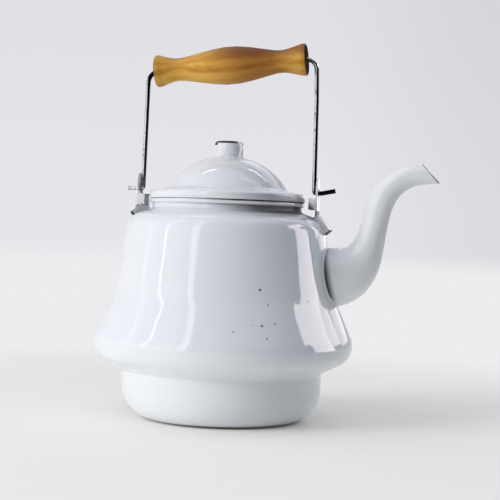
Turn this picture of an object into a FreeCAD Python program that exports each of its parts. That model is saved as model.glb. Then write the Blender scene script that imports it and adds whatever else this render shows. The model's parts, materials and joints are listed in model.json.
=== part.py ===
"""Enamelled kettle with a gooseneck spout, a loose domed lid and a wire bail with a turned wooden grip.

The frame has +Z up and +X along the spout, with the origin at the middle of the base where the kettle stands.
Lengths are in millimetres and angles in degrees.
"""

import FreeCAD
import Part
import Sketcher

import math
import os

SIZES = {
    # Sheet steel with its enamel
    "sheet_wall": 1.2,
    # Base pan
    "base_radius": 75.0,
    "base_corner": 24.0,
    "seam_height": 34.0,
    # Body line from the seam up to the rim
    "seam_lip": 2.6,
    "seam_round": 2.5,
    "belly_reach": 27.1,
    "belly_rise": 14.0,
    "belly_round": 15.0,
    "waist_step": 19.3,
    "waist_rise": 43.4,
    "waist_round": 45.0,
    "shoulder_step": 9.2,
    "shoulder_rise": 56.1,
    "shoulder_round": 13.0,
    "shoulder_width": 17.8,
    "neck_rise": 6.2,
    "neck_round": 3.0,
    "neck_height": 5.6,
    "bead_radius": 1.8,
    # Spout root and mouth
    "spout_wall": 1.2,
    "spout_rise": 15.2,
    "spout_hole_radius": 15.0,
    "lip_reach": 74.6,
    "lip_rise": 71.8,
    "lip_angle": 48.0,
    # Lid
    "lid_gap": 0.05,
    "lid_overhang": 0.2,
    "lid_edge_height": 5.8,
    "lid_edge_round": 2.6,
    "flange_width": 13.4,
    "flange_rise": 2.8,
    "flange_round": 4.0,
    "dome_height": 24.4,
    "collar_gap": 0.4,
    "collar_depth": 13.0,
    "knob_radius": 10.5,
    "knob_bulge": 0.9,
    "knob_bulge_round": 9.0,
    "knob_height": 11.4,
    "knob_round": 3.0,
    # Bail ears
    "lug_wall": 1.2,
    "lug_width": 16.0,
    "lug_inset": 5.9,
    "lug_round_rise": 3.7,
    "foot_rise": 3.8,
    "foot_angle": 49.0,
    "front_foot_length": 14.6,
    "rear_foot_length": 4.0,
    "foot_height": 1.6,
    "cheek_depth": 5.2,
    "cheek_height": 8.4,
    "cheek_drop": 4.0,
    # Bail wire
    "wire_radius": 1.7,
    "pivot_gap": 0.1,
    "pivot_rise": 7.4,
    "pivot_bend": 2.0,
    "arm_gap": 0.2,
    "arm_lean": 1.5,
    "rear_arm": 88.4,
    "front_arm": 100.0,
    "rear_bend": 9.0,
    "front_bend": 7.5,
    "rear_stub": 8.4,
    "front_stub": 2.0,
    "hook_reach": 10.6,
    "hook_rise": 2.2,
    "hook_bend": 6.0,
    # Wooden grip, measured along its own axis
    "grip_gap": 0.1,
    "rear_grip_inset": 5.9,
    "front_grip_inset": 7.3,
    "grip_end_radius": 11.9,
    "grip_end_round": 1.3,
    "grip_rim": 3.2,
    "grip_neck_radius": 7.7,
    "rear_neck_inset": 16.0,
    "front_neck_inset": 19.0,
    "grip_neck_round": 26.0,
    "grip_belly_radius": 15.6,
    "grip_belly_round": 75.0,
    "grip_mouth_radius": 3.6,
    "grip_mouth_depth": 5.0,
}

# Spout stations: distance out from the waist, height above the root, tilt of the axis and outer diameter
STATIONS = {
    "root": (-12.0, -0.4, 4.0, 44.0),
    "collar": (4.0, 0.8, 7.0, 43.0),
    "elbow": (13.7, 5.1, 25.0, 37.5),
    "knee": (20.9, 14.2, 48.0, 29.5),
    "shin": (25.2, 26.0, 66.0, 22.8),
    "shank": (28.2, 40.1, 76.0, 20.0),
    "throat": (31.3, 53.2, 70.0, 19.6),
    "crook": (36.1, 63.5, 52.5, 19.2),
    "crown": (44.0, 71.6, 35.0, 17.6),
    "nose": (54.0, 76.5, 15.5, 16.0),
    "beak": (62.5, 78.0, 4.5, 15.2),
    "tip": (77.2, 78.8, 3.5, 13.6),
}
STATION_SIZES = ("out", "up", "tilt", "dia")

# Share of the full spherical cap that the lid's dome is rounded to, which leaves a short cone at its foot
DOME_SHARE = 0.91
# How far helper solids reach past what they cut
PAST = 40.0
FULL_TURN = 360.0
PLAIN = None


def size(name):
    """Return the expression that reads one cell of the sheet."""
    return f"Sizes.{name}"


def add(*terms):
    """Return the expression for a sum of terms."""
    return " + ".join(f"({term})" for term in terms)


def less(first, *rest):
    """Return the expression for a term with the others taken off it."""
    return " - ".join(f"({term})" for term in (first, *rest))


# Heights and radii of the body line, each worked out from the one below it
FLARE_Z = add(size("seam_height"), size("seam_lip"))
BELLY_Z = add(FLARE_Z, size("belly_rise"))
WAIST_Z = add(BELLY_Z, size("waist_rise"))
SHOULDER_Z = add(WAIST_Z, size("shoulder_rise"))
NECK_Z = add(SHOULDER_Z, size("neck_rise"))
BEAD_Z = add(NECK_Z, size("neck_height"))
RIM_Z = add(BEAD_Z, size("bead_radius"))
BELLY_R = add(size("base_radius"), size("belly_reach"))
WAIST_R = less(BELLY_R, size("waist_step"))
SHOULDER_R = less(WAIST_R, size("shoulder_step"))
NECK_R = less(SHOULDER_R, size("shoulder_width"))
BEAD_R = less(add(NECK_R, size("bead_radius")), size("sheet_wall"))

# Lid
LID_R = add(BEAD_R, size("bead_radius"), size("lid_overhang"))
LID_Z = add(RIM_Z, size("lid_gap"))
EDGE_Z = add(LID_Z, size("lid_edge_height"))
DOME_R = less(LID_R, size("flange_width"))
DOME_Z = add(EDGE_Z, size("flange_rise"))
CROWN_Z = add(DOME_Z, size("dome_height"))
CROWN_R = f"(({DOME_R})^2 + {size('dome_height')}^2) / (2 * ({DOME_R}))"
CAP_ROUND = f"{DOME_SHARE} * (({DOME_R})^2 + {size('dome_height')}^2) / (2 * {size('dome_height')})"
KNOB_Z = add(CROWN_Z, size("knob_height"))

# Bail
LUG_X = less(SHOULDER_R, size("lug_inset"))
PIVOT_Z = add(RIM_Z, size("pivot_rise"))
LUG_OUT = add(LUG_X, size("lug_wall"))
ARM_X = less(LUG_X, size("arm_gap"), size("pivot_bend"))
ARM_TOP_X = less(ARM_X, size("arm_lean"))
REAR_TOP_Z = add(PIVOT_Z, size("rear_arm"))
FRONT_TOP_Z = add(PIVOT_Z, size("front_arm"))
HALF_CLIMB = f"({less(size('front_arm'), size('rear_arm'))}) / 2"
HALF_RUN = f"sqrt(({ARM_TOP_X})^2 + ({HALF_CLIMB})^2)"

BODY_LINE = [
    (size("base_radius"), size("seam_height"), PLAIN),
    (size("base_radius"), FLARE_Z, size("seam_round")),
    (BELLY_R, BELLY_Z, size("belly_round")),
    (WAIST_R, WAIST_Z, size("waist_round")),
    (SHOULDER_R, SHOULDER_Z, size("shoulder_round")),
    (NECK_R, NECK_Z, size("neck_round")),
    (NECK_R, BEAD_Z, PLAIN),
]
LID_LINE = [
    ("0", CROWN_Z, PLAIN),
    (CROWN_R, CROWN_Z, CAP_ROUND),
    (DOME_R, DOME_Z, size("flange_round")),
    (LID_R, EDGE_Z, size("lid_edge_round")),
    (LID_R, LID_Z, PLAIN),
]

doc = FreeCAD.newDocument("kettle")


def make_sheet():
    """Write the driving sizes into the sheet, one alias a row."""
    sheet = doc.addObject("Spreadsheet::Sheet", "Sizes")
    rows = dict(SIZES)
    for station, sizes in STATIONS.items():
        for word, number in zip(STATION_SIZES, sizes):
            rows[f"{station}_{word}"] = number
    for row, (alias, number) in enumerate(rows.items(), start=1):
        sheet.set(f"A{row}", alias)
        sheet.set(f"B{row}", str(number))
        sheet.setAlias(f"B{row}", alias)
    doc.recompute()
    return sheet


SHEET = make_sheet()


def value(expression):
    """Return the number that an expression has now."""
    return float(SHEET.evalExpression(expression))


def bind(thing, **expressions):
    """Bind properties of an object to expressions."""
    for name, expression in expressions.items():
        thing.setExpression(name, expression)


def put(thing, across="0", along="0", up="0", axis=None, angle=None):
    """Bind the place of an object, and its turn about an axis where it has one."""
    if axis is not None:
        thing.Placement = FreeCAD.Placement(FreeCAD.Vector(), FreeCAD.Rotation(axis, value(angle)))
        thing.setExpression("Placement.Rotation.Angle", angle)
    for letter, expression in zip("xyz", (across, along, up)):
        thing.setExpression(f"Placement.Base.{letter}", expression)


class LineDrawing:
    """A line of straight runs and tangent arcs in a sketch, held by expressions."""

    def __init__(self, sketch, corners, closed=False):
        self.sketch = sketch
        self.corners = corners
        self.closed = closed
        self.spots = [FreeCAD.Vector(value(across), value(up), 0) for across, up, _ in corners]
        self.points = [self.hold(spot, corner) for spot, corner in zip(self.spots, corners)]
        self.draw()

    def rule(self, kind, *terms, expression=None):
        """Add a constraint, bound to an expression where it has one."""
        index = self.sketch.addConstraint(Sketcher.Constraint(kind, *terms))
        if expression is not None:
            self.sketch.setExpression(f"Constraints[{index}]", expression)

    def hold(self, spot, corner):
        """Add the point of a corner, held by its two distances from the origin."""
        point = self.sketch.addGeometry(Part.Point(spot), True)
        self.rule("DistanceX", -1, 1, point, 1, spot.x, expression=corner[0])
        self.rule("DistanceY", -1, 1, point, 1, spot.y, expression=corner[1])
        return point

    def rounding(self, index):
        """Return where the arc of a corner starts and ends, its centre and whether it turns left."""
        spot = self.spots[index]
        back = (self.spots[index - 1] - spot).normalize()
        ahead = (self.spots[(index + 1) % len(self.spots)] - spot).normalize()
        radius = value(self.corners[index][2])
        half = back.getAngle(ahead) / 2
        reach = radius / math.tan(half)
        centre = spot + (back + ahead).normalize() * (radius / math.sin(half))
        turns_left = ahead.cross(back).z > 0
        return spot + back * reach, spot + ahead * reach, centre, turns_left

    def add_arc(self, index):
        """Add the arc of a rounded corner, and return it with the numbers of its two ends."""
        start, end, centre, turns_left = self.rounding(index)
        first, last = (start, end) if turns_left else (end, start)
        angles = [math.atan2(spot.y - centre.y, spot.x - centre.x) for spot in (first, last)]
        if angles[1] < angles[0]:
            angles[1] += 2 * math.pi
        radius = (start - centre).Length
        circle = Part.Circle(centre, FreeCAD.Vector(0, 0, 1), radius)
        arc = self.sketch.addGeometry(Part.ArcOfCircle(circle, *angles))
        self.rule("Radius", arc, radius, expression=self.corners[index][2])
        return (arc, 1, 2) if turns_left else (arc, 2, 1)

    def draw(self):
        """Add the straight runs first, so that the line keeps their direction, then the arcs between them."""
        count = len(self.corners)
        rounded = [corner[2] is not PLAIN for corner in self.corners]
        joints = []
        for index in range(count if self.closed else count - 1):
            after = (index + 1) % count
            start = self.rounding(index)[1] if rounded[index] else self.spots[index]
            end = self.rounding(after)[0] if rounded[after] else self.spots[after]
            run = self.sketch.addGeometry(Part.LineSegment(start, end))
            joints += [(index, run, 1), (after, run, 2)]
        arcs = {index: self.add_arc(index) for index in range(count) if rounded[index]}
        for corner, run, run_end in joints:
            if corner in arcs:
                arc, arc_start, arc_finish = arcs[corner]
                self.rule("PointOnObject", self.points[corner], 1, run)
                self.rule("Tangent", run, run_end, arc, arc_start if run_end == 2 else arc_finish)
            else:
                self.rule("Coincident", run, run_end, self.points[corner], 1)


def upright_sketch(name, corners, closed=False):
    """Draw a line in the XZ plane, with its distances across from the axis and up from the base."""
    sketch = doc.addObject("Sketcher::SketchObject", name)
    sketch.Placement = FreeCAD.Placement(FreeCAD.Vector(), FreeCAD.Rotation(FreeCAD.Vector(1, 0, 0), 90))
    LineDrawing(sketch, corners, closed)
    return sketch


def body_sketch(body, name, role):
    """Make a sketch on one of a body's own origin planes."""
    sketch = body.newObject("Sketcher::SketchObject", name)
    plane = next(feature for feature in body.Origin.OriginFeatures if feature.Role == role)
    sketch.AttachmentSupport = [(plane, "")]
    sketch.MapMode = "FlatFace"
    return sketch


def spin(name, source):
    """Turn a flat drawing about the kettle's axis into a solid."""
    turned = doc.addObject("Part::Revolution", name)
    turned.Source = source
    turned.Axis = FreeCAD.Vector(0, 0, 1)
    turned.Base = FreeCAD.Vector(0, 0, 0)
    turned.Angle = FULL_TURN
    turned.Solid = True
    return turned


def spun_sheet(name, line, thickness):
    """Give a line its sheet thickness and turn it about the axis. A positive thickness lies left of the line."""
    strip = doc.addObject("Part::Offset2D", f"{name}_strip")
    strip.Source = line
    strip.Mode = "Skin"
    strip.Join = "Intersection"
    strip.Fill = True
    bind(strip, Value=thickness)
    return spin(name, strip)


def spun_core(name, corners, low, high):
    """Turn everything between the axis and a line into one solid, for cutting other pieces to that surface."""
    closed = [("0", low, PLAIN), *corners, ("0", high, PLAIN)]
    return spin(name, upright_sketch(f"{name}_outline", closed, closed=True))


def cut(name, base, tool):
    """Cut one solid with another."""
    result = doc.addObject("Part::Cut", name)
    result.Base = base
    result.Tool = tool
    return result


def fuse(name, *shapes):
    """Join solids into one."""
    result = doc.addObject("Part::MultiFuse", name)
    result.Shapes = list(shapes)
    result.Refine = True
    return result


def common(name, *shapes):
    """Keep what solids share."""
    result = doc.addObject("Part::MultiCommon", name)
    result.Shapes = list(shapes)
    return result


def block(name, length, width, height, **place):
    """Make a box whose width is centred on the XZ plane, unless its place says otherwise."""
    box = doc.addObject("Part::Box", name)
    bind(box, Length=length, Width=width, Height=height)
    place.setdefault("along", f"-({width}) / 2")
    put(box, **place)
    return box


def rod_along_x(name, radius, length, across, up):
    """Make a cylinder that lies along X."""
    rod = doc.addObject("Part::Cylinder", name)
    bind(rod, Radius=radius, Height=length)
    put(rod, across=across, up=up, axis=FreeCAD.Vector(0, 1, 0), angle="90")
    return rod


def make_base_pan():
    """Press the base pan: a flat bottom, a round edge and a straight ring up to the seam."""
    line = upright_sketch("base_line", [
        ("0", "0", PLAIN),
        (size("base_radius"), "0", size("base_corner")),
        (size("base_radius"), size("seam_height"), PLAIN),
    ])
    return spun_sheet("base_pan", line, size("sheet_wall"))


def make_body_shell(body_line):
    """Press the body, roll its rim into a bead and cut the hole behind the spout."""
    wall = spun_sheet("body_wall", body_line, size("sheet_wall"))
    bead = doc.addObject("Part::Torus", "rim_bead")
    bind(bead, Radius1=BEAD_R, Radius2=size("bead_radius"))
    put(bead, up=BEAD_Z)
    rolled = fuse("body_with_rim", wall, bead)
    hole = rod_along_x("spout_hole", size("spout_hole_radius"), BELLY_R, "0", add(WAIST_Z, size("spout_rise")))
    return cut("body_shell", rolled, hole)


def spout_loft(name, thickness):
    """Loft the spout through its stations, with a thickness taken off the radius."""
    rings = []
    for station in STATIONS:
        ring = doc.addObject("Part::Circle", f"{name}_{station}")
        bind(ring, Radius=less(f"{size(station + '_dia')} / 2", thickness))
        put(
            ring,
            across=add(WAIST_R, size(f"{station}_out")),
            up=add(WAIST_Z, size("spout_rise"), size(f"{station}_up")),
            axis=FreeCAD.Vector(0, 1, 0),
            angle=less("90", size(f"{station}_tilt")),
        )
        rings.append(ring)
    loft = doc.addObject("Part::Loft", name)
    loft.Sections = rings
    loft.Solid = True
    loft.Ruled = False
    return loft


def make_spout(body_core):
    """Loft the gooseneck, hollow it, fit its root to the body, cut its mouth and part it into two halves."""
    tube = cut("spout_tube", spout_loft("spout_outside", "0"), spout_loft("spout_bore", size("spout_wall")))
    rooted = cut("spout_rooted", tube, body_core)
    mouth = block(
        "mouth_cut", str(2 * PAST), str(2 * PAST), str(PAST),
        across=less(add(WAIST_R, size("lip_reach")), f"{PAST} * cos({size('lip_angle')})"),
        up=add(WAIST_Z, size("spout_rise"), size("lip_rise"), f"{PAST} * sin({size('lip_angle')})"),
        axis=FreeCAD.Vector(0, 1, 0), angle=size("lip_angle"),
    )
    whole = cut("spout_whole", rooted, mouth)
    reach = add(WAIST_R, size("tip_out"), str(PAST))
    tall = add(WAIST_Z, size("spout_rise"), size("tip_up"), str(PAST))
    left = block("left_side", reach, str(PAST), tall, along="0")
    right = block("right_side", reach, str(PAST), tall, along=str(-PAST))
    return [common("spout_left_half", whole, left), common("spout_right_half", whole, right)]


def make_lid(lid_core):
    """Press the lid, and make the collar under it and the knob on it."""
    shell = spun_sheet("lid_shell", upright_sketch("lid_line", LID_LINE), f"-({size('sheet_wall')})")
    knob_line = upright_sketch("knob_line", [
        ("0", KNOB_Z, PLAIN),
        (size("knob_radius"), KNOB_Z, size("knob_round")),
        (
            add(size("knob_radius"), size("knob_bulge")), less(KNOB_Z, f"{size('knob_height')} / 2"),
            size("knob_bulge_round"),
        ),
        (size("knob_radius"), CROWN_Z, PLAIN),
        (size("knob_radius"), DOME_Z, PLAIN),
    ])
    cup = spun_sheet("knob_cup", knob_line, f"-({size('sheet_wall')})")
    return [shell, make_lid_collar(), cut("lid_knob", cup, lid_core)]


def make_lid_collar():
    """Make the ring that hangs from the lid's flange into the neck."""
    outside = less(NECK_R, size("sheet_wall"), size("collar_gap"))
    inside = less(outside, size("sheet_wall"))
    slope = f"({size('flange_rise')} / {size('flange_width')})"

    def flange_underside(radius):
        climb = f"(({LID_R}) - ({radius})) * {slope}"
        return less(add(EDGE_Z, climb), f"{size('sheet_wall')} * sqrt(1 + {slope}^2)")

    low = less(RIM_Z, size("collar_depth"))
    body = doc.addObject("PartDesign::Body", "lid_collar")
    sketch = body_sketch(body, "collar_section", "XZ_Plane")
    LineDrawing(sketch, [
        (inside, low, PLAIN),
        (outside, low, PLAIN),
        (outside, flange_underside(outside), PLAIN),
        (inside, flange_underside(inside), PLAIN),
    ], closed=True)
    ring = body.newObject("PartDesign::Revolution", "collar_ring")
    ring.Profile = sketch
    ring.ReferenceAxis = (sketch, ["V_Axis"])
    ring.Angle = FULL_TURN
    return body


def foot_block(name, length, width, height):
    """Block out an ear's foot along the slope of the shoulder, up to a height over it."""
    angle = size("foot_angle")
    return block(
        name, length, width, add(str(PAST), height),
        across=less(LUG_X, f"{PAST} * sin({angle})"),
        up=less(add(SHOULDER_Z, size("foot_rise")), f"{PAST} * cos({angle})"),
        axis=FreeCAD.Vector(0, 1, 0), angle=angle,
    )


def make_lug(name, body_core, foot_length):
    """Bend one bail ear: a foot on the shoulder, a round-topped tongue with the pivot hole, and two cheeks."""
    wide = size("lug_width")
    half_wide = f"{wide} / 2"
    round_z = add(PIVOT_Z, size("lug_round_rise"))
    tongue = block(f"{name}_tongue", size("lug_wall"), wide, less(round_z, WAIST_Z), across=LUG_X, up=WAIST_Z)
    top = rod_along_x(f"{name}_top", half_wide, size("lug_wall"), LUG_X, round_z)
    cheeks = [
        block(
            f"{name}_{side}_cheek", add(size("cheek_depth"), size("lug_wall")), size("lug_wall"),
            size("cheek_height"), across=less(LUG_X, size("cheek_depth")), along=along,
            up=less(PIVOT_Z, size("cheek_drop"), size("cheek_height")),
        )
        for side, along in (("left", less(half_wide, size("lug_wall"))), ("right", f"-({half_wide})"))
    ]
    foot = cut(
        f"{name}_foot",
        foot_block(f"{name}_saddle", foot_length, wide, size("foot_height")),
        foot_block(
            f"{name}_hollow", add(foot_length, str(PAST)), less(wide, f"2 * {size('lug_wall')}"),
            less(size("foot_height"), size("lug_wall")),
        ),
    )
    bracket = cut(f"{name}_bracket", fuse(f"{name}_ear", tongue, top, *cheeks, foot), body_core)
    hole = rod_along_x(
        f"{name}_hole", add(size("wire_radius"), size("pivot_gap")), str(PAST),
        less(LUG_X, str(PAST / 2)), PIVOT_Z,
    )
    return cut(name, bracket, hole)


def make_bail_wire():
    """Bend the bail from one wire: stub, rear arm, top run, front arm and hooked stub."""
    start_x = f"-({add(LUG_OUT, size('rear_stub'))})"
    hook_x = add(LUG_OUT, size("front_stub"))
    body = doc.addObject("PartDesign::Body", "bail_wire")
    path = body_sketch(body, "bail_path", "XZ_Plane")
    LineDrawing(path, [
        (start_x, PIVOT_Z, PLAIN),
        (f"-({ARM_X})", PIVOT_Z, size("pivot_bend")),
        (f"-({ARM_TOP_X})", REAR_TOP_Z, size("rear_bend")),
        (ARM_TOP_X, FRONT_TOP_Z, size("front_bend")),
        (ARM_X, PIVOT_Z, size("pivot_bend")),
        (hook_x, PIVOT_Z, size("hook_bend")),
        (add(hook_x, size("hook_reach")), add(PIVOT_Z, size("hook_rise")), PLAIN),
    ])
    section = body_sketch(body, "wire_section", "YZ_Plane")
    section.setExpression("AttachmentOffset.Base.y", PIVOT_Z)
    section.setExpression("AttachmentOffset.Base.z", start_x)
    wire_radius = SIZES["wire_radius"]
    circle = Part.Circle(FreeCAD.Vector(), FreeCAD.Vector(0, 0, 1), wire_radius)
    edge = section.addGeometry(circle)
    section.addConstraint(Sketcher.Constraint("Coincident", edge, 3, -1, 1))
    radius_rule = section.addConstraint(Sketcher.Constraint("Radius", edge, wire_radius))
    section.setExpression(f"Constraints[{radius_rule}]", size("wire_radius"))
    doc.recompute()
    pipe = body.newObject("PartDesign::AdditivePipe", "bent_wire")
    pipe.Profile = section
    pipe.Spine = (path, [f"Edge{number}" for number in range(1, len(path.Shape.Edges) + 1)])
    return body


def make_bail_grip():
    """Turn the wooden grip and bore it for the wire, then set it on the bail's top run."""
    bore = add(size("wire_radius"), size("grip_gap"))
    rear = less(HALF_RUN, size("rear_grip_inset"))
    front = less(HALF_RUN, size("front_grip_inset"))
    body = doc.addObject("PartDesign::Body", "bail_grip")
    sketch = body_sketch(body, "grip_section", "XZ_Plane")
    LineDrawing(sketch, [
        (f"-({rear})", size("grip_mouth_radius"), PLAIN),
        (f"-({rear})", size("grip_end_radius"), size("grip_end_round")),
        (less(size("grip_rim"), rear), size("grip_end_radius"), size("grip_end_round")),
        (less(size("rear_neck_inset"), rear), size("grip_neck_radius"), size("grip_neck_round")),
        ("0", size("grip_belly_radius"), size("grip_belly_round")),
        (less(front, size("front_neck_inset")), size("grip_neck_radius"), size("grip_neck_round")),
        (less(front, size("grip_rim")), size("grip_end_radius"), size("grip_end_round")),
        (front, size("grip_end_radius"), size("grip_end_round")),
        (front, size("grip_mouth_radius"), PLAIN),
        (less(front, size("grip_mouth_depth")), bore, PLAIN),
        (less(size("grip_mouth_depth"), rear), bore, PLAIN),
    ], closed=True)
    turned = body.newObject("PartDesign::Revolution", "turned_grip")
    turned.Profile = sketch
    turned.ReferenceAxis = (sketch, ["H_Axis"])
    turned.Angle = FULL_TURN
    put(
        body, up=add(PIVOT_Z, f"({size('rear_arm')} + {size('front_arm')}) / 2"),
        axis=FreeCAD.Vector(0, -1, 0), angle=f"atan(({HALF_CLIMB}) / ({ARM_TOP_X}))",
    )
    return body


def make_kettle():
    """Build every piece and return them by node name."""
    body_line = upright_sketch("body_line", BODY_LINE)
    body_core = spun_core("body_core", BODY_LINE, size("seam_height"), BEAD_Z)
    lid_core = spun_core("lid_core", LID_LINE[1:], CROWN_Z, LID_Z)
    front_lug = make_lug("front_lug", body_core, size("front_foot_length"))
    rear_lug = make_lug("rear_lug", body_core, size("rear_foot_length"))
    rear_lug.Placement = FreeCAD.Placement(
        FreeCAD.Vector(), FreeCAD.Rotation(FreeCAD.Vector(0, 0, 1), FULL_TURN / 2))
    pieces = [
        make_base_pan(), make_body_shell(body_line), *make_spout(body_core), *make_lid(lid_core),
        front_lug, rear_lug, make_bail_wire(), make_bail_grip(),
    ]
    doc.recompute()
    return {piece.Label: piece for piece in pieces}


def check(pieces):
    """Stop where an object failed or a piece isn't one valid solid."""
    for thing in doc.Objects:
        if {"Invalid", "Error"} & set(thing.State):
            raise RuntimeError(f"{thing.Label} failed: {thing.State}")
    for node, piece in pieces.items():
        shape = piece.Shape
        if shape.isNull() or not shape.isValid() or len(shape.Solids) != 1:
            raise RuntimeError(f"{node} isn't one valid solid")


def export(pieces):
    """Write each piece to its own file."""
    os.makedirs("parts", exist_ok=True)
    for node, piece in pieces.items():
        box = piece.Shape.BoundBox
        piece.Shape.exportStep(f"parts/{node}.step")
        print(f"{node}: {piece.Shape.Volume / 1000:.2f} cm3, x {box.XMin:.1f} to {box.XMax:.1f}, "
              f"y {box.YMin:.1f} to {box.YMax:.1f}, z {box.ZMin:.1f} to {box.ZMax:.1f}")


kettle = make_kettle()
check(kettle)
export(kettle)
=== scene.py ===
"""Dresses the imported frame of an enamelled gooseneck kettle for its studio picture.

Sizes are written in millimetres, as on a shop drawing, and scaled to metres where a mesh is drawn.
"""

import json
import logging
import math
from contextlib import contextmanager
from dataclasses import dataclass
from enum import Enum
from typing import Iterator, Optional, Sequence, Union

import bpy
from mathutils import Matrix, Vector

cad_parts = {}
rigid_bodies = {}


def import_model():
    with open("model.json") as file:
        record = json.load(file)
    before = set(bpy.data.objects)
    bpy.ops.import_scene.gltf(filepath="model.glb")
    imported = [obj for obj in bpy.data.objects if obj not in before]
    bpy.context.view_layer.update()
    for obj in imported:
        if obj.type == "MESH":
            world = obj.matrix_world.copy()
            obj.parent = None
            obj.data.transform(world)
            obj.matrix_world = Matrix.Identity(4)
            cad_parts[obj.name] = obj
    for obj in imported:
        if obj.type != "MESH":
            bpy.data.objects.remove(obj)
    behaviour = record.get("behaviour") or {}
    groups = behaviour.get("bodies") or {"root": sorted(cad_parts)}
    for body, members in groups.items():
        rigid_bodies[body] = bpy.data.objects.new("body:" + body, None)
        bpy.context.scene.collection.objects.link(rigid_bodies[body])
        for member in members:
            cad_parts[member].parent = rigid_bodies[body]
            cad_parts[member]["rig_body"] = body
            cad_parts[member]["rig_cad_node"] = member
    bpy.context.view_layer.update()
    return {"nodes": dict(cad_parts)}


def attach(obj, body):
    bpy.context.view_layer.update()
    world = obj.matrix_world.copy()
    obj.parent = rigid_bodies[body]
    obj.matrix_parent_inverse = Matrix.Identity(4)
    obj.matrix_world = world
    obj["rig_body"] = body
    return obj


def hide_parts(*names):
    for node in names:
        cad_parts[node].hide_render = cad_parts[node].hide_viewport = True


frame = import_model()

LOG = logging.getLogger("kettle")
MM = 0.001
WELD = 0.004 * MM
SPIN_STEPS = 160
ARC_STEP = math.radians(7.5)
FEWEST_ARC_STEPS = 3
LEAST_COSINE = 0.5
LONGEST_RUN = 6.0
SMOOTH_ANGLE = math.radians(32.0)
MIX_A, MIX_B, MIX_RESULT = 6, 7, 2
SCALAR_RESULTS = ("LENGTH", "DISTANCE", "DOT_PRODUCT")

Pair = tuple[float, float]
Triple = tuple[float, float, float]
Colour = tuple[float, float, float, float]
Socket = bpy.types.NodeSocket

UNIT: Pair = (0.0, 1.0)
UP: Triple = (0.0, 0.0, 1.0)
DOWN: Triple = (0.0, 0.0, -1.0)
SPOUTWARD: Triple = (0.97, 0.24, 0.0)
FRONTWARD: Triple = (0.19, -0.98, 0.0)
REARWARD: Triple = (-0.98, -0.19, 0.0)


class Body(Enum):
    """Bodies of the frame that pieces ride on."""

    KETTLE = "kettle"
    LID = "lid"
    BAIL = "bail"
    GRIP = "grip"


class Slot(Enum):
    """Material slots of the record."""

    ENAMEL = "enamel"
    EAR = "ear_enamel"
    WIRE = "wire"
    WOOD = "wood"


@dataclass(frozen=True)
class Corner:
    """A corner of a drawn line, in millimetres: across, up, and the radius that rounds it."""

    across: float
    up: float
    radius: float = 0.0


@dataclass(frozen=True)
class Station:
    """A cross-section of a tube in the kettle's middle plane, in millimetres and degrees."""

    across: float
    up: float
    tilt: float
    radius: float


@dataclass(frozen=True)
class Axis:
    """The line that a piece is turned round: a point on it, its direction, and the way out from it."""

    centre: Triple
    along: Triple
    out: Triple

    def point(self, flat: Vector) -> Vector:
        """Place a drawn point, out from the axis and along it in millimetres, in the frame in metres."""
        offset = Vector(self.out) * flat.x + Vector(self.along) * flat.y
        return (Vector(self.centre) + offset) * MM


KETTLE_AXIS = Axis((0.0, 0.0, 0.0), UP, (1.0, 0.0, 0.0))


def linear(hex_colour: str) -> Colour:
    """Turn an sRGB hex colour into a linear one.

    Args:
        hex_colour: six hex digits after a hash sign.

    Returns:
        Red, green, blue and an alpha of 1.
    """
    channels = []
    for start in (1, 3, 5):
        level = int(hex_colour[start:start + 2], 16) / 255.0
        channels.append(level / 12.92 if level <= 0.04045 else ((level + 0.055) / 1.055) ** 2.4)
    return (channels[0], channels[1], channels[2], 1.0)


def mm(*lengths: float) -> tuple[float, ...]:
    """Turn lengths in millimetres into metres."""
    return tuple(length * MM for length in lengths)


def rounded_line(corners: Sequence[Corner]) -> list[Vector]:
    """Draw a line through corners, rounding those that have a radius and splitting long straight runs.

    Args:
        corners: the line's corners in order. The two ends stay sharp.

    Returns:
        Points of the line, in millimetres.
    """
    bends: list[Vector] = []
    for index, corner in enumerate(corners):
        here = Vector((corner.across, corner.up))
        if corner.radius == 0.0 or index in (0, len(corners) - 1):
            bends.append(here)
            continue
        back = (Vector((corners[index - 1].across, corners[index - 1].up)) - here).normalized()
        ahead = (Vector((corners[index + 1].across, corners[index + 1].up)) - here).normalized()
        turn = math.pi - back.angle(ahead)
        reach = corner.radius * math.tan(turn / 2.0)
        centre = here + (back + ahead).normalized() * corner.radius / math.cos(turn / 2.0)
        first = here + back * reach - centre
        last = here + ahead * reach - centre
        sweep = math.atan2(first.x * last.y - first.y * last.x, first.dot(last))
        steps = max(FEWEST_ARC_STEPS, math.ceil(turn / ARC_STEP))
        start = math.atan2(first.y, first.x)
        for step in range(steps + 1):
            angle = start + sweep * step / steps
            bends.append(centre + corner.radius * Vector((math.cos(angle), math.sin(angle))))
    points = [bends[0]]
    for start_point, end_point in zip(bends, bends[1:]):
        pieces = max(1, math.ceil((end_point - start_point).length / LONGEST_RUN))
        points += [start_point.lerp(end_point, piece / pieces) for piece in range(1, pieces + 1)]
    return points


def offset_line(line: Sequence[Vector], distance: float) -> list[Vector]:
    """Move a line sideways, to the left of the way it runs.

    Args:
        line: points of the line, in millimetres.
        distance: how far to move it.

    Returns:
        The moved points, as many as were given.
    """
    moved = []
    for index, point in enumerate(line):
        back = (point - line[index - 1]).normalized() if index else None
        ahead = (line[index + 1] - point).normalized() if index + 1 < len(line) else back
        back = back or ahead
        along = (back + ahead).normalized()
        stretch = 1.0 / max(LEAST_COSINE, along.dot(ahead))
        moved.append(point + Vector((-along.y, along.x)) * distance * stretch)
    return moved


def pick_only(piece: bpy.types.Object) -> None:
    """Select one object alone and make it the active one."""
    bpy.ops.object.select_all(action="DESELECT")
    piece.select_set(True)
    bpy.context.view_layer.objects.active = piece


def named(name: str) -> bpy.types.Object:
    """Name the object that was just added and give it back."""
    piece = bpy.context.active_object
    piece.name = name
    return piece


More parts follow.
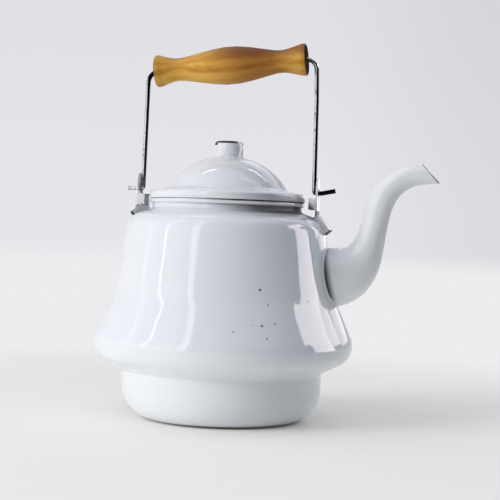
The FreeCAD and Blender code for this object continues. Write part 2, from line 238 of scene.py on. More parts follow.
def smooth() -> None:
    """Shade the active object smooth, apart from its sharp edges."""
    bpy.ops.object.shade_smooth_by_angle(angle=SMOOTH_ANGLE)


@contextmanager
def editing() -> Iterator[None]:
    """Edit the active mesh, with all of it selected, and go back to object mode."""
    bpy.ops.object.mode_set(mode="EDIT")
    bpy.ops.mesh.select_all(action="SELECT")
    yield
    bpy.ops.object.mode_set(mode="OBJECT")


def draw_chain(name: str, points: Sequence[Vector]) -> bpy.types.Object:
    """Draw a chain of edges by pulling one vertex from point to point.

    Args:
        name: the new object's name.
        points: places in the frame, in metres.

    Returns:
        The object, in object mode.
    """
    bpy.ops.mesh.primitive_plane_add(size=MM)
    piece = named(name)
    with editing():
        bpy.ops.mesh.merge(type="CENTER")
        bpy.ops.transform.translate(value=points[0])
        for start, end in zip(points, points[1:]):
            bpy.ops.mesh.extrude_region_move(TRANSFORM_OT_translate={"value": end - start})
    return piece


def turn_piece(name: str, outline: Sequence[Vector], axis: Axis = KETTLE_AXIS) -> bpy.types.Object:
    """Spin a drawn outline into a turned piece.

    Args:
        name: the new object's name.
        outline: points out from the axis and along it, in millimetres. It is closed, or ends on the axis.
        axis: the line to spin it round.

    Returns:
        The piece, closed and smooth.
    """
    piece = draw_chain(name, [axis.point(point) for point in outline])
    with editing():
        bpy.ops.mesh.remove_doubles(threshold=WELD)
        bpy.ops.mesh.spin(
            steps=SPIN_STEPS, angle=math.tau, center=Vector(axis.centre) * MM, axis=Vector(axis.along)
        )
        bpy.ops.mesh.select_all(action="SELECT")
        bpy.ops.mesh.remove_doubles(threshold=WELD)
        bpy.ops.mesh.normals_make_consistent(inside=False)
    smooth()
    return piece


def sweep_tube(name: str, stations: Sequence[Station], sides: int, capped: bool) -> bpy.types.Object:
    """Pull a ring from station to station into a tube.

    Args:
        name: the new object's name.
        stations: the cross-sections in order.
        sides: vertices round the tube.
        capped: whether both ends are filled.

    Returns:
        The tube, smooth, with its faces outwards.
    """
    first = stations[0]
    bpy.ops.mesh.primitive_circle_add(
        vertices=sides, radius=first.radius * MM, fill_type="NGON" if capped else "NOTHING",
        location=mm(first.across, 0.0, first.up),
        rotation=(0.0, math.pi / 2.0 - math.radians(first.tilt), 0.0),
    )
    tube = named(name)
    bpy.ops.object.transform_apply(location=True, rotation=True, scale=True)
    with editing():
        for before, after in zip(stations, stations[1:]):
            centre = mm(after.across, 0.0, after.up)
            step = mm(after.across - before.across, 0.0, after.up - before.up)
            turn = math.radians(after.tilt - before.tilt)
            growth = after.radius / before.radius
            bpy.ops.mesh.extrude_region_move(TRANSFORM_OT_translate={"value": step})
            bpy.ops.transform.rotate(value=turn, orient_axis="Y", center_override=centre)
            bpy.ops.transform.resize(value=(growth, growth, growth), center_override=centre)
        if capped:
            bpy.ops.mesh.select_all(action="DESELECT")
            bpy.ops.mesh.select_non_manifold()
            bpy.ops.mesh.edge_face_add()
        bpy.ops.mesh.select_all(action="SELECT")
        bpy.ops.mesh.normals_make_consistent(inside=False)
    smooth()
    return tube


def shape_with(piece: bpy.types.Object, kind: str, **settings: object) -> None:
    """Add a modifier to a piece and apply it.

    Args:
        piece: the mesh to change.
        kind: the modifier's type.
        settings: the modifier's fields.
    """
    pick_only(piece)
    bpy.ops.object.modifier_add(type=kind)
    modifier = piece.modifiers[-1]
    for name, value in settings.items():
        setattr(modifier, name, value)
    bpy.ops.object.modifier_apply(modifier=modifier.name)


def cut_away(piece: bpy.types.Object, tool: bpy.types.Object) -> None:
    """Cut a tool's volume out of a piece, throw the tool away and smooth the piece again."""
    shape_with(piece, "BOOLEAN", operation="DIFFERENCE", solver="EXACT", object=tool)
    bpy.data.objects.remove(tool)
    pick_only(piece)
    smooth()


def settle(piece: bpy.types.Object, body: Body, slot: Slot, *nodes: str) -> None:
    """Tie a finished piece to its body and hide the CAD nodes that it stands for.

    Args:
        piece: the finished object.
        body: the body that it rides on.
        slot: not used.
        nodes: the CAD nodes that it replaces.
    """
    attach(piece, body.value)
    if nodes:
        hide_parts(*nodes)
    LOG.info("%s: %d faces, rides on %s", piece.name, len(piece.data.polygons), body.value)


def add_node(
    tree: bpy.types.NodeTree, kind: str, inputs: Optional[dict] = None, **settings: object
) -> bpy.types.Node:
    """Add one node with its settings and links.

    Args:
        tree: the tree to add it to.
        kind: the node's type name.
        inputs: for each socket's name or number, a plain value or the output to link to it.
        settings: the node's own fields.

    Returns:
        The new node.
    """
    node = tree.nodes.new(kind)
    for name, value in settings.items():
        setattr(node, name, value)
    for socket, value in (inputs or {}).items():
        if isinstance(value, Socket):
            tree.links.new(value, node.inputs[socket])
        else:
            node.inputs[socket].default_value = value
    return node


class Graph:
    """The emptied node tree of a material or a world, with short ways to add what looks are made of."""

    def __init__(self, owner: Union[bpy.types.Material, bpy.types.World]) -> None:
        """Empty the owner's tree."""
        owner.use_nodes = True
        self.owner = owner
        self.tree = owner.node_tree
        self.tree.nodes.clear()

    def place(self, kind: str = "Object") -> Socket:
        """Give the coordinates of the shaded point."""
        return add_node(self.tree, "ShaderNodeTexCoord").outputs[kind]

    def parts(self, vector: Socket) -> bpy.types.NodeOutputs:
        """Split a vector into its X, Y and Z."""
        return add_node(self.tree, "ShaderNodeSeparateXYZ", {"Vector": vector}).outputs

    def noise(self, place: Socket, spacing: float, **inputs: float) -> Socket:
        """Give a noise whose features lie about this many millimetres apart."""
        settings = {"Vector": place, "Scale": 1.0 / (spacing * MM), **inputs}
        return add_node(self.tree, "ShaderNodeTexNoise", settings).outputs["Fac"]

    def fade(self, value: Socket, span: Pair, levels: tuple = UNIT, soft: bool = True) -> Socket:
        """Give a level that changes while a value passes a span.

        Args:
            value: the value to follow.
            span: where the change starts and ends.
            levels: the level before and after it, as numbers or sockets.
            soft: whether the change starts and ends gently.

        Returns:
            The level.
        """
        return add_node(self.tree, "ShaderNodeMapRange", {
            "Value": value, "From Min": span[0], "From Max": span[1],
            "To Min": levels[0], "To Max": levels[1],
        }, interpolation_type="SMOOTHSTEP" if soft else "LINEAR").outputs["Result"]

    def mix(self, share: Socket, first: Union[str, Socket], second: str, blend: str = "MIX") -> Socket:
        """Blend a second colour into the first by a share."""
        start = linear(first) if isinstance(first, str) else first
        return add_node(self.tree, "ShaderNodeMix", {
            0: share, MIX_A: start, MIX_B: linear(second),
        }, data_type="RGBA", blend_type=blend).outputs[MIX_RESULT]

    def number(self, operation: str, *values: Union[float, Socket]) -> Socket:
        """Reckon with numbers."""
        node = add_node(self.tree, "ShaderNodeMath", dict(enumerate(values)), operation=operation)
        return node.outputs[0]

    def vector(self, operation: str, *values: Union[Triple, Vector, Socket]) -> Socket:
        """Reckon with vectors."""
        result = "Value" if operation in SCALAR_RESULTS else "Vector"
        node = add_node(self.tree, "ShaderNodeVectorMath", dict(enumerate(values)), operation=operation)
        return node.outputs[result]

    def bump(self, height: Socket, strength: float, depth: float) -> Socket:
        """Give a normal that a height ruffles, over a depth in millimetres."""
        return add_node(self.tree, "ShaderNodeBump", {
            "Strength": strength, "Distance": depth * MM, "Height": height,
        }).outputs["Normal"]

    def seen(self) -> Socket:
        """Give 1 for rays from the camera, a mirror or glass, and 0 for scattered light."""
        rays = add_node(self.tree, "ShaderNodeLightPath").outputs
        shiny = self.number("MAXIMUM", rays["Is Glossy Ray"], rays["Is Transmission Ray"])
        return self.number("MAXIMUM", rays["Is Camera Ray"], shiny)

    def shader(self, kind: str, inputs: Optional[dict] = None) -> Socket:
        """Add a shader and give what comes out of it."""
        return add_node(self.tree, f"ShaderNode{kind}", inputs).outputs[0]

    def light(self, kind: str, colour: str, strength: Union[float, Socket]) -> Socket:
        """Add a shader that gives light."""
        return self.shader(kind, {"Color": linear(colour), "Strength": strength})

    def coat(self, piece: bpy.types.Object, surface: Socket) -> None:
        """End the material on a surface and give it to a piece."""
        add_node(self.tree, "ShaderNodeOutputMaterial", {"Surface": surface})
        piece.data.materials.clear()
        piece.data.materials.append(self.owner)


@dataclass(frozen=True)
class Side:
    """The half of space past a plane: points whose reach along a direction is over a limit, in millimetres.

    `fade` is the width that the stain comes in over, where it differs from the stain's own soft edge.
    """

    direction: Triple
    over: float
    fade: Optional[float] = None


def above(height: float, fade: Optional[float] = None) -> Side:
    """Give the space above a height."""
    return Side(UP, height, fade)


def below(height: float, fade: Optional[float] = None) -> Side:
    """Give the space below a height."""
    return Side(DOWN, -height, fade)


def spoutward(reach: float, fade: float) -> Side:
    """Give the space past an upright plane, on the side that the spout is on."""
    return Side(SPOUTWARD, reach, fade)


@dataclass(frozen=True)
class Speck:
    """A pinhole or blot in the enamel: its place and radius in millimetres."""

    place: Triple
    radius: float
    colour: str
    core: float = 0.5
    halo: float = 1.2


@dataclass(frozen=True)
class StainAndShade:
    """A worn or soiled place on the enamel, or a place of painted shade: all that lies past every one of its
    planes.

    Its edge fades over `soft` millimetres and wanders by `ragged` millimetres.
    """

    sides: tuple[Side, ...]
    colour: str
    strength: float = 1.0
    soft: float = 0.4
    ragged: float = 0.5


Mark = Union[Speck, StainAndShade]


@dataclass(frozen=True)
class VitreousEnamel:
    """Vitreous enamel fired on sheet steel: a milky glass coat, poured and a little wavy.

    It gives the eye a cool white body under sharp reflections that ripple slightly, with brown pinholes
    and dark chips where the coat has failed.
    """

    name: str
    colour: str
    shade: str
    gloss: float = 0.06
    ior: float = 1.52
    wave_spacing: float = 24.0
    wave_height: float = 0.65
    wave_strength: float = 0.5
    tint_spacing: float = 60.0
    grit_spacing: float = 1.6
    mark_roughness: float = 0.6

    def make(self, piece: bpy.types.Object, marks: Sequence[Mark] = ()) -> None:
        """Fire the enamel onto a piece.

        Args:
            piece: the object to coat.
            marks: the specks, stains and painted shade on it.
        """
        graph = Graph(bpy.data.materials.new(f"{self.name}_{piece.name}"))
        place = graph.place()
        tint = graph.noise(place, self.tint_spacing, Detail=2.0)
        colour = graph.mix(tint, self.colour, self.shade)
        grit = graph.noise(place, self.grit_spacing, Detail=3.0)
        marked = None
        for mark in marks:
            mask = self.mask(graph, place, grit, mark)
            colour = graph.mix(mask, colour, mark.colour)
            marked = mask if marked is None else graph.number("MAXIMUM", marked, mask)
        # Every mark, painted shade too, is made rough, which dulls the reflections on it.
        roughness: Union[float, Socket] = self.gloss
        if marked is not None:
            roughness = graph.fade(marked, UNIT, (self.gloss, self.mark_roughness), soft=False)
        wave = graph.noise(place, self.wave_spacing, Detail=1.0)
        graph.coat(piece, graph.shader("BsdfPrincipled", {
            "Base Color": colour, "Roughness": roughness, "IOR": self.ior,
            "Normal": graph.bump(wave, self.wave_strength, self.wave_height),
        }))

    @staticmethod
    def mask(graph: Graph, place: Socket, grit: Socket, mark: Mark) -> Socket:
        """Work out where a mark lies.

        Args:
            graph: the material's nodes.
            place: the Object coordinates.
            grit: a fine noise that makes edges ragged.
            mark: the speck, stain or painted shade.

        Returns:
            A socket that is 1 on the mark and 0 off it.
        """
        if isinstance(mark, Speck):
            away = graph.vector("DISTANCE", place, mm(*mark.place))
            return graph.fade(away, mm(mark.radius * mark.core, mark.radius * mark.halo), (1.0, 0.0))
        result = None
        for side in mark.sides:
            reach = graph.vector("DOT_PRODUCT", place, side.direction)
            ragged = graph.number("MULTIPLY_ADD", grit, 2.0 * mark.ragged * MM, reach)
            low = side.over + mark.ragged
            strength = mark.strength if result is None else 1.0
            past = graph.fade(ragged, mm(low, low + (side.fade or mark.soft)), (0.0, strength))
            result = past if result is None else graph.number("MULTIPLY", result, past)
        return result


@dataclass(frozen=True)
class PlatedSteelWire:
    """Drawn steel wire with a thin bright plating: sharp streaked reflections, dulled in spots by age, with
    painted shade down the side of each arm away from the lamp.
    """

    colour: str = "#C4C3C0"
    tarnish: str = "#57544F"
    tarnish_span: Pair = (0.5, 0.72)
    # Near black for the unplated front end, and for the painted shade down each arm.
    dark_steel: str = "#171615"
    bare_span: Pair = (70.2, 71.2)
    arm: float = 64.9
    # Painted shade: the side of each arm towards +X, away from the lamp, is coloured near black.
    shaded_side: Pair = (0.1, 0.8)
    roughness: Pair = (0.16, 0.38)
    spot_spacing: float = 5.0
    streak_spacing: float = 0.8
    streak_strength: float = 0.25
    streak_depth: float = 0.02

    def make(self, piece: bpy.types.Object) -> None:
        """Plate a wire piece, tarnish it in spots, darken its front end as unplated steel and paint shade
        down the side of each arm away from the lamp.
        """
        graph = Graph(bpy.data.materials.new("plated_steel_wire"))
        place = graph.place()
        spots = graph.noise(place, self.spot_spacing, Detail=5.0, Roughness=0.6)
        marked = graph.fade(spots, self.tarnish_span)
        reach = graph.parts(place)["X"]
        dark_steel = graph.fade(reach, mm(*self.bare_span), soft=False)
        # Painted shade down the side of each arm away from the lamp.
        from_arm = graph.number("MULTIPLY_ADD", graph.number("SIGN", reach), -self.arm * MM, reach)
        shaded_side = graph.fade(from_arm, mm(*self.shaded_side), soft=False)
        plated = graph.mix(marked, self.colour, self.tarnish)
        streaks = graph.noise(place, self.streak_spacing, Detail=2.0)
        graph.coat(piece, graph.shader("BsdfPrincipled", {
            "Base Color": graph.mix(graph.number("MAXIMUM", dark_steel, shaded_side), plated, self.dark_steel), "Metallic": 1.0,
            "Roughness": graph.fade(marked, UNIT, self.roughness, soft=False),
            "Normal": graph.bump(streaks, self.streak_strength, self.streak_depth),
        }))


@dataclass(frozen=True)
class VarnishedWood:
    """A turned softwood grip under old amber varnish.

    It gives the eye pale and brown streaks along the grip, fine dark pores, darker end grain and a soft
    shine, with painted shade over the right of its belly and along its top.
    """

    pale: str = "#E6BE60"
    amber: str = "#D9A544"
    brown: str = "#B67E2D"
    stops: Triple = (0.32, 0.48, 0.68)
    end_grain: str = "#2A1A0C"
    end_fade: Pair = (0.9, 0.1)
    end_shine: Pair = (0.5, 0.0)
    # Multiplied in as painted shade over the right of the belly and along the top, away from the lamp, and
    # as soil at both ends.
    shade_and_soil: str = "#A06A28"
    shaded_middle: float = 21.0
    shaded_reach: float = 46.0
    shaded_levels: Pair = (0.7, 0.0)
    top_span: Pair = (-2.0, 9.0)
    top_shade_level: float = 0.8
    top_shade_from: Pair = (-34.0, 4.0)
    soiled_rim: float = 7.0
    soiled_level: float = 0.4
    band_spacing: float = 6.0
    band_length: float = 260.0
    pore_spacing: float = 0.9
    pore_length: float = 40.0
    pore_span: Pair = (0.5, 0.75)
    pore_level: float = 0.4
    pore_strength: float = 0.3
    pore_depth: float = 0.08
    roughness: float = 0.55
    ior: float = 1.33
    coat_weight: float = 0.05
    coat_roughness: float = 0.3
    coat_ior: float = 1.5

    def make(self, piece: bpy.types.Object, axis: Axis, ends: Pair) -> None:
        """Varnish the grip.

        Args:
            piece: the turned grip.
            axis: the grip's own axis, which the grain follows.
            ends: where its two end faces lie along that axis, in millimetres.
        """
        graph = Graph(bpy.data.materials.new("varnished_softwood"))
        tilt = math.atan2(axis.along[2], axis.along[0])
        along_grip = add_node(graph.tree, "ShaderNodeMapping", {
            "Vector": graph.place(), "Location": mm(*axis.centre), "Rotation": (0.0, -tilt, 0.0),
        }, vector_type="TEXTURE").outputs["Vector"]
        bands, pores = self.grain(graph, along_grip)
        ramp = add_node(graph.tree, "ShaderNodeValToRGB", {"Fac": bands})
        stops = ramp.color_ramp.elements
        stops.new(self.stops[1])
        for stop, position, colour in zip(stops, self.stops, (self.brown, self.amber, self.pale)):
            stop.position = position
            stop.color = linear(colour)
        dark = graph.fade(pores, self.pore_span, (0.0, self.pore_level), soft=False)
        wood = graph.mix(dark, ramp.outputs["Color"], self.brown)
        parts = graph.parts(along_grip)
        reach = parts["X"]
        apart = graph.number("ABSOLUTE", graph.number("SUBTRACT", reach, self.shaded_middle * MM))
        # Painted shade over the right of the belly.
        painted_shade_right = graph.fade(apart, mm(0.0, self.shaded_reach), self.shaded_levels)
        # Painted shade along the top, over the right part only.
        topside = graph.fade(parts["Z"], mm(*self.top_span), (0.0, self.top_shade_level))
        shade_and_wear_patch = graph.number("MULTIPLY", topside, graph.fade(reach, mm(*self.top_shade_from)))
        dark_band, faces = [], []
        for end, side in zip(ends, (-1.0, 1.0)):
            rim = mm(end - side * self.soiled_rim, end)
            dark_band.append(graph.fade(reach, rim, (0.0, self.soiled_level), soft=False))
            face = mm(*(end - side * inset for inset in self.end_fade))
            faces.append(graph.fade(reach, face, soft=False))
        for darkened in (painted_shade_right, shade_and_wear_patch, *dark_band):
            wood = graph.mix(darkened, wood, self.shade_and_soil, "MULTIPLY")
        end_face = graph.number("MAXIMUM", *faces)
        graph.coat(piece, graph.shader("BsdfPrincipled", {
            "Base Color": graph.mix(end_face, wood, self.end_grain),
            "Specular IOR Level": graph.fade(end_face, UNIT, self.end_shine, soft=False),
            "Normal": graph.bump(pores, self.pore_strength, self.pore_depth),
            "Roughness": self.roughness, "IOR": self.ior, "Coat Weight": self.coat_weight,
            "Coat Roughness": self.coat_roughness, "Coat IOR": self.coat_ior,
        }))

    def grain(self, graph: Graph, along_grip: Socket) -> tuple[Socket, Socket]:
        """Draw the wood's bands and pores out along the grip."""
        stretched = graph.vector("MULTIPLY", along_grip, (self.band_spacing / self.band_length, 1.0, 1.0))
        bands = graph.noise(stretched, self.band_spacing, Detail=3.0, Distortion=0.2)
        stretched = graph.vector("MULTIPLY", along_grip, (self.pore_spacing / self.pore_length, 1.0, 1.0))
        return bands, graph.noise(stretched, self.pore_spacing, Detail=4.0, Roughness=0.6)


WHITE_ENAMEL = VitreousEnamel("white_vitreous_enamel", "#E9EDF3", "#E2E7EE")
# A brighter copy of the white enamel: painted light on the spout, which the body shades from the lamp.
BRIGHTENED_SPOUT_ENAMEL = VitreousEnamel("brightened_spout_enamel", "#EEF3F6", "#E7ECF0")
EAR_ENAMEL = VitreousEnamel("worn_vitreous_enamel", "#EBEFF1", "#DEE3E6", gloss=0.16, wave_spacing=5.0)
GREY_ENAMEL = VitreousEnamel("grey_vitreous_enamel", "#9A9DA1", "#86898D", gloss=0.2, wave_spacing=5.0)
RUST = "#54421F"
# Grey for the painted shade on the rear ear's lower part.
EAR_SHADE_GREY = "#8C989C"
# Near black for chips, worn steel and soot, and for painted shade.
DARK_WEAR_AND_SHADE = "#2C2A28"
COOL_LIGHT = "#F4F8FF"
WARM_LIGHT = "#FFF6FA"
NEUTRAL_LIGHT = "#FFFFFF"


@dataclass
class KettleBody:
    """The two pressings of the body, welded at the seam, with the neck's rolled rim."""

    wall: float = 1.2
    seam_gap: float = 0.08
    line: tuple[Corner, ...] = (
        Corner(75.0, 34.0), Corner(75.0, 36.6, 2.5), Corner(102.1, 50.6, 15.0), Corner(82.8, 94.0, 45.0),
        Corner(73.6, 150.1, 13.0), Corner(55.8, 156.3, 3.0), Corner(55.8, 160.2),
    )
    bead_centre: Pair = (56.4, 161.9)
    bead_radius: float = 1.8
    bead_steps: int = 26
    base_line: tuple[Corner, ...] = (Corner(0.0, 0.0), Corner(75.0, 0.0, 24.0), Corner(75.0, 34.0))
    hole_radius: float = 15.0
    hole_height: float = 109.2
    hole_sides: int = 64
    specks: tuple[Speck, ...] = (
        Speck((39.2, -71.7, 100.7), 1.0, "#3A3020"),
        Speck((45.1, -71.3, 90.5), 0.7, "#7E8384"),
        Speck((37.0, -82.5, 76.9), 0.5, "#8F8C82"),
        Speck((42.8, -79.9, 76.3), 1.0, "#5A4A1C"),
        Speck((50.9, -74.2, 77.7), 0.8, "#787C7C"),
        Speck((24.4, -89.3, 71.9), 0.8, "#9A9EA0"),
        Speck((47.0, -82.0, 67.7), 0.8, "#84898C"),
        Speck((69.7, -46.1, 92.8), 0.8, "#9A9690"),
    )
    # Soot and painted contact shade along the base's bottom edge, deeper on the side away from the lamp.
    base_soot_and_shade: StainAndShade = StainAndShade((below(2.6, 1.6), spoutward(-75.0, 80.0)), DARK_WEAR_AND_SHADE, 0.95)

    def outline(self) -> list[Vector]:
        """Give the outer line of the body, from the seam to the foot of the rim."""
        return rounded_line(self.line)

    def build_shell(self) -> bpy.types.Object:
        """Press the upper body: wall, neck and rolled rim in one closed section, then cut the spout's hole.

        Returns:
            The shell.
        """
        outer = self.outline()
        centre = Vector(self.bead_centre)
        start = outer[-1] - centre
        first = math.atan2(start.y, start.x)
        bead = []
        for step in range(1, self.bead_steps + 1):
            angle = first + (math.pi - first) * step / self.bead_steps
            bead.append(centre + self.bead_radius * Vector((math.cos(angle), math.sin(angle))))
        inner = offset_line(outer, self.wall)
        shell = turn_piece("enamel_body", outer + bead + inner[::-1] + outer[:1])
        widest = max(corner.across for corner in self.line)
        bpy.ops.mesh.primitive_cylinder_add(
            vertices=self.hole_sides, radius=self.hole_radius * MM, depth=widest * MM,
            location=mm(widest / 2.0, 0.0, self.hole_height), rotation=(0.0, math.pi / 2.0, 0.0),
        )
        cut_away(shell, bpy.context.active_object)
        return shell

    def build_base(self) -> bpy.types.Object:
        """Press the base pan, with its edge drawn in a little at the seam.

        Returns:
            The pan.
        """
        outer = rounded_line(self.base_line)
        inner = offset_line(outer, self.wall)
        inner[0] = Vector((0.0, self.wall))
        edge = [Vector((outer[-1].x - self.seam_gap, outer[-1].y)), inner[-1].copy()]
        outer[-1] = Vector((outer[-1].x, outer[-1].y - self.seam_gap))
        return turn_piece("enamel_base", outer + edge + inner[-2::-1])

    def wear(self) -> tuple[Mark, ...]:
        """Say where the upper body is darkened round the neck, mostly on the spout's side: painted shade on
        the neck and shoulder, a painted shadow of the front ear's foot, dirt and painted shade under the
        rim's bead, rust and painted shadow in the gap at the bead's top, and pinholes.
        """
        foot = self.line[-1].up
        bead_top = self.bead_centre[1] + self.bead_radius
        # Painted shade on the neck and the top of the shoulder, deepening towards the spout.
        shoulder_shade = (above(foot - 10.7, 3.0), below(foot), spoutward(-14.0, 60.0))
        neck_shade = (above(foot - 6.5, 2.0), below(foot), spoutward(-20.0, 60.0))
        # Painted shadow of the front ear's foot on the shoulder.
        ear_foot_shadow = (above(149.0, 4.0), Side((0.6, 0.8, 0.0), 20.0, 12.0), Side((0.6, -0.8, 0.0), 8.0, 20.0))
        # Dirt and painted shade in the groove under the rim's bead.
        dirt_and_bead_shade = (above(foot - 1.2), below(foot + 0.5), spoutward(-60.0, 90.0))
        # Rust and painted shadow in the gap under the lid's edge, deepening away from the lamp.
        rust_and_gap_shade = (above(bead_top - 1.3), spoutward(-34.0, 40.0))
        return (
            StainAndShade(shoulder_shade, "#3F454D", 0.42, ragged=0.2), StainAndShade(neck_shade, "#333840", 0.95, ragged=0.2),
            StainAndShade((*ear_foot_shadow, below(foot)), "#3B3A2C", 0.9, ragged=0.6), StainAndShade(dirt_and_bead_shade, "#6E675C", 0.8, 0.7, 0.3),
            StainAndShade(rust_and_gap_shade, RUST, 0.95, ragged=0.25), *self.specks,
        )

    def dress(self) -> None:
        """Build both pressings, coat them and tie them to the kettle."""
        shell = self.build_shell()
        WHITE_ENAMEL.make(shell, self.wear())
        settle(shell, Body.KETTLE, Slot.ENAMEL, "body_shell")
        base = self.build_base()
        WHITE_ENAMEL.make(base, (self.base_soot_and_shade,))
        settle(base, Body.KETTLE, Slot.ENAMEL, "base_pan")


@dataclass
class Spout:
    """The gooseneck, pressed in two halves and welded, with its root set on the body's wall."""

    body: KettleBody
    wall: float = 1.2
    sides: int = 64
    cuts: int = 7
    bead_radius: float = 0.9
    bead_steps: int = 3
    lip: Pair = (157.4, 181.0)
    lip_angle: float = 48.0
    lip_bevel: float = 0.3
    bevel_angle: float = math.radians(50.0)
    trim_span: Pair = (60.0, 150.0)
    trim_top: float = 149.0
    belly_top: float = 58.0
    stations: tuple[Station, ...] = (
        Station(70.8, 108.8, 4.0, 22.0), Station(86.8, 110.0, 7.0, 21.5),
        Station(96.5, 114.3, 25.0, 18.75), Station(103.7, 123.4, 48.0, 14.75),
        Station(108.0, 135.2, 66.0, 11.4), Station(111.0, 149.3, 76.0, 10.0),
        Station(114.1, 162.4, 70.0, 9.8), Station(118.9, 172.7, 52.5, 9.6),
        Station(126.8, 180.8, 35.0, 8.8), Station(136.8, 185.7, 15.5, 8.0),
        Station(145.3, 187.2, 4.5, 7.6), Station(160.0, 188.0, 3.5, 6.8),
    )
    # Painted shade on the spout's flank where it meets the body's wall.
    painted_crevice_shade: StainAndShade = StainAndShade(
        (Side((-0.9806, 0.0, -0.1961), -104.0, 5.2), above(86.5, 10.0), below(134.0, 4.0)), "#17191C", 0.95,
        ragged=0.2,
    )

    def flow(self) -> list[Station]:
        """Blend the stations into a fine smooth run.

        Returns:
            Cross-sections close enough together to look smooth.
        """
        places = [Vector((station.across, station.up)) for station in self.stations]
        marks = [0.0]
        for before, after in zip(places, places[1:]):
            marks.append(marks[-1] + (after - before).length)
        values = [Vector((s.across, s.up, s.tilt, s.radius)) for s in self.stations]
        last = len(values) - 1
        slopes = []
        for index in range(len(values)):
            low, high = max(0, index - 1), min(last, index + 1)
            slopes.append((values[high] - values[low]) / (marks[high] - marks[low]))
        flow = []
        for index in range(last):
            span = marks[index + 1] - marks[index]
            for cut in range(self.cuts):
                t = cut / self.cuts
                blend = (
                    values[index] * (2 * t ** 3 - 3 * t ** 2 + 1)
                    + slopes[index] * span * (t ** 3 - 2 * t ** 2 + t)
                    + values[index + 1] * (3 * t ** 2 - 2 * t ** 3)
                    + slopes[index + 1] * span * (t ** 3 - t ** 2)
                )
                flow.append(Station(*blend))
        return flow + [self.stations[-1]]

    def lip_normal(self) -> Vector:
        """Give the way the mouth faces."""
        angle = math.radians(self.lip_angle)
        return Vector((math.sin(angle), 0.0, math.cos(angle)))

    def build_tube(self) -> bpy.types.Object:
        """Sweep the spout, cut its mouth, give it its wall and trim its root to the body.

        Returns:
            The spout.
        """
        tube = sweep_tube("enamel_spout", self.flow(), self.sides, capped=False)
        mouth = mm(self.lip[0], 0.0, self.lip[1])
        pick_only(tube)
        with editing():
            bpy.ops.mesh.bisect(plane_co=mouth, plane_no=self.lip_normal(), clear_outer=True)
        shape_with(tube, "SOLIDIFY", thickness=self.wall * MM, offset=-1.0, use_even_offset=True)
        shape_with(
            tube, "BEVEL", width=self.lip_bevel * MM, segments=3, limit_method="ANGLE",
            angle_limit=self.bevel_angle,
        )
        low, high = self.trim_span
        wall = [point for point in self.body.outline() if low < point.y < high]
        cut_away(tube, turn_piece("spout_trim", [Vector((0.0, low)), *wall, Vector((0.0, self.trim_top))]))
        return tube

    def wall_radius(self, height: float) -> float:
        """Give the radius of the body's wall at a height, in millimetres."""
        line = self.body.outline()
        for low, high in zip(line, line[1:]):
            if low.y <= height <= high.y and high.y > low.y and low.y > self.belly_top:
                return low.lerp(high, (height - low.y) / (high.y - low.y)).x
        return line[0].x

    def root_line(self) -> list[Vector]:
        """Follow the line where the spout meets the body's wall.

        Returns:
            Points round the root, in metres, closed.
        """
        flow = self.flow()
        points = []
        for side in range(self.sides):
            angle = math.tau * side / self.sides
            previous: Optional[tuple[float, Vector]] = None
            for station in flow:
                tilt = math.radians(station.tilt)
                up = Vector((-math.sin(tilt), 0.0, math.cos(tilt)))
                place = Vector((station.across, 0.0, station.up)) + station.radius * (
                    math.cos(angle) * up + math.sin(angle) * Vector((0.0, 1.0, 0.0))
                )
                outside = math.hypot(place.x, place.y) - self.wall_radius(place.z)
                if previous is not None and previous[0] < 0.0 <= outside:
                    share = previous[0] / (previous[0] - outside)
                    points.append(previous[1].lerp(place, share) * MM)
                    break
                previous = (outside, place)
        return points + points[:1]

    def build_weld(self) -> bpy.types.Object:
        """Run a bead of weld round the root.

        Returns:
            The bead.
        """
        draw_chain("spout_weld", self.root_line())
        with editing():
            bpy.ops.mesh.remove_doubles(threshold=WELD)
        bpy.ops.object.convert(target="CURVE")
        curve = bpy.context.active_object.data
        curve.bevel_depth = self.bead_radius * MM
        curve.bevel_resolution = self.bead_steps
        bpy.ops.object.convert(target="MESH")
        smooth()
        return bpy.context.active_object

    def dress(self) -> None:
        """Build the spout and its weld, coat them and tie them to the kettle."""
        tube = self.build_tube()
        normal = self.lip_normal()
        edge = normal.dot(Vector((self.lip[0], 0.0, self.lip[1])))
        worn_lip = StainAndShade((Side(tuple(normal), edge - 0.7),), DARK_WEAR_AND_SHADE, 0.85, soft=0.3, ragged=0.35)
        BRIGHTENED_SPOUT_ENAMEL.make(tube, (worn_lip, self.painted_crevice_shade))
        settle(tube, Body.KETTLE, Slot.ENAMEL, "spout_left_half", "spout_right_half")
        weld = self.build_weld()
        WHITE_ENAMEL.make(weld)
        settle(weld, Body.KETTLE, Slot.ENAMEL)


